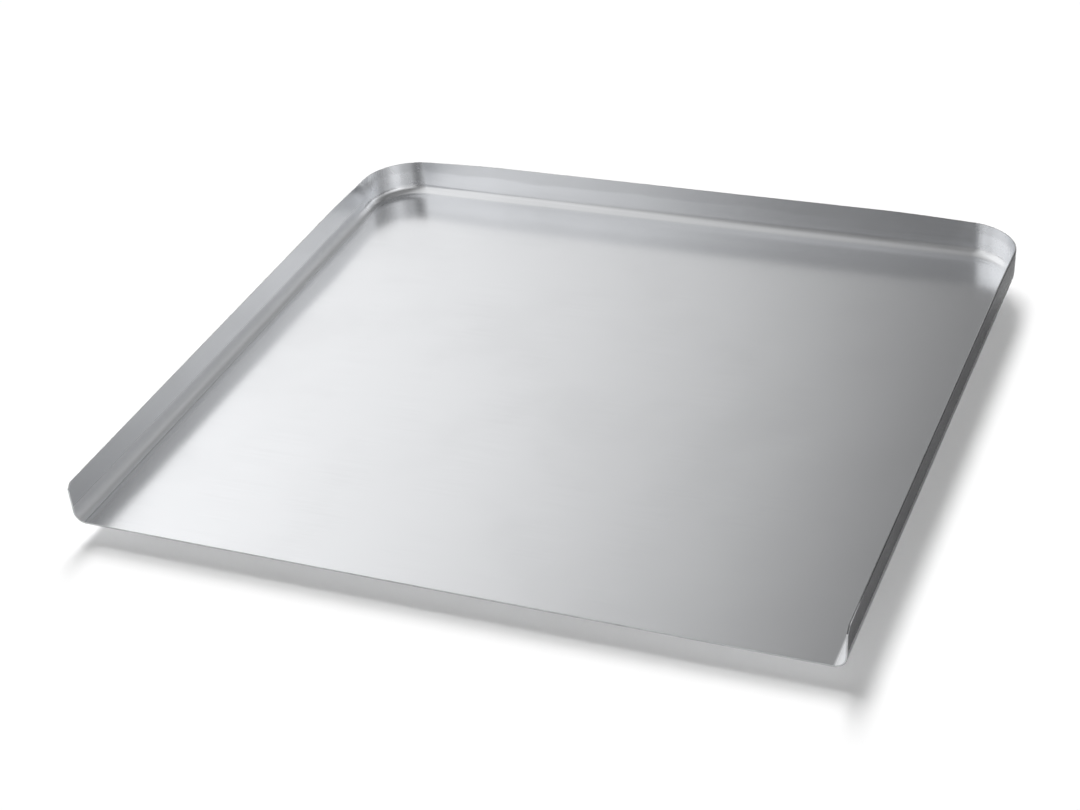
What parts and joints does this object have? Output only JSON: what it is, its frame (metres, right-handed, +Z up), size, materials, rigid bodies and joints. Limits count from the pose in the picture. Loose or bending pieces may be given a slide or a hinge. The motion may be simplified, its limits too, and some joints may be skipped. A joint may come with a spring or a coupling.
{
  "type": "sheet pan",
  "caption": "Low-walled sheet pan pressed from satin aluminium, with a flat floor, walls at the left, back and right, rounded back corners and an open front edge to slide food off.",
  "frame": {"origin": "on the flat underside, in the middle of the pan's width and depth", "axes": "+X to the right wall, +Y from the open front edge to the back wall, +Z up from the floor to the rim"},
  "size_m": [0.457, 0.432, 0.026],
  "materials": {
    "pan_sheet": "natural satin aluminium with a faint rolling grain"
  },
  "bodies": {
    "root": {"pan_floor": "pan_sheet", "left_wall": "pan_sheet", "back_left_corner": "pan_sheet", "back_wall": "pan_sheet", "back_right_corner": "pan_sheet", "right_wall": "pan_sheet"}
  },
  "joints": []
}
